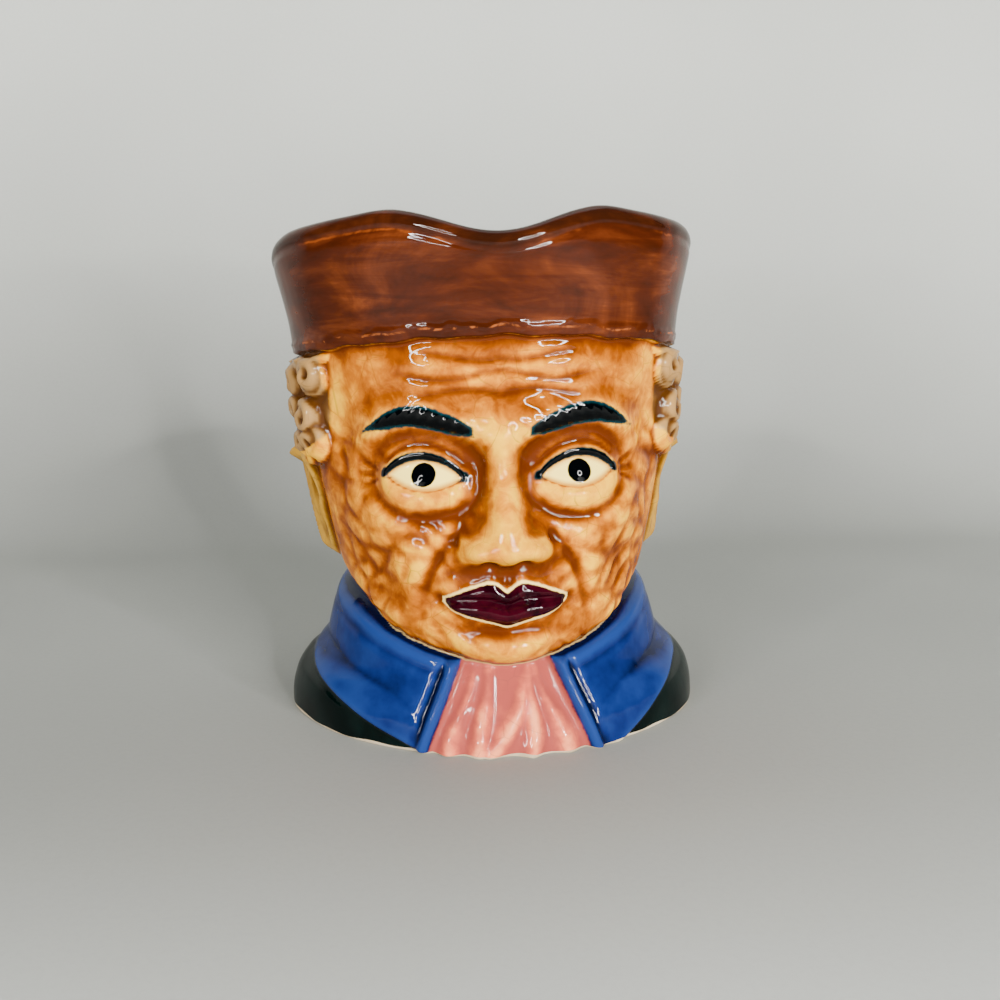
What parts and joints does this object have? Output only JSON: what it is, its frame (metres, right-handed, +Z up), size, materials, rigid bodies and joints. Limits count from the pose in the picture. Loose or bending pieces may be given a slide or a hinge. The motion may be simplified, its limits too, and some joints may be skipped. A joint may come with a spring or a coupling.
{
  "type": "toby jug",
  "caption": "Small glazed earthenware jug shaped as a man's head in a hat, hollow inside, with a pouring dip at the front of the rim and a loop handle behind.",
  "frame": {"origin": "on the table under the middle of the whole jug's box, spout and handle included", "axes": "+Z up, -Y towards the face and the pouring dip, +Y towards the handle, +X to a viewer's right when facing the jug"},
  "size_m": [0.0616, 0.0692, 0.0699],
  "materials": {
    "glaze": "hand-painted and clear glazed earthenware: red-brown hat, amber face, blue collar, pink cravat and green-black coat, with an unglazed foot ring"
  },
  "bodies": {
    "root": {"jug": "glaze"}
  },
  "joints": []
}
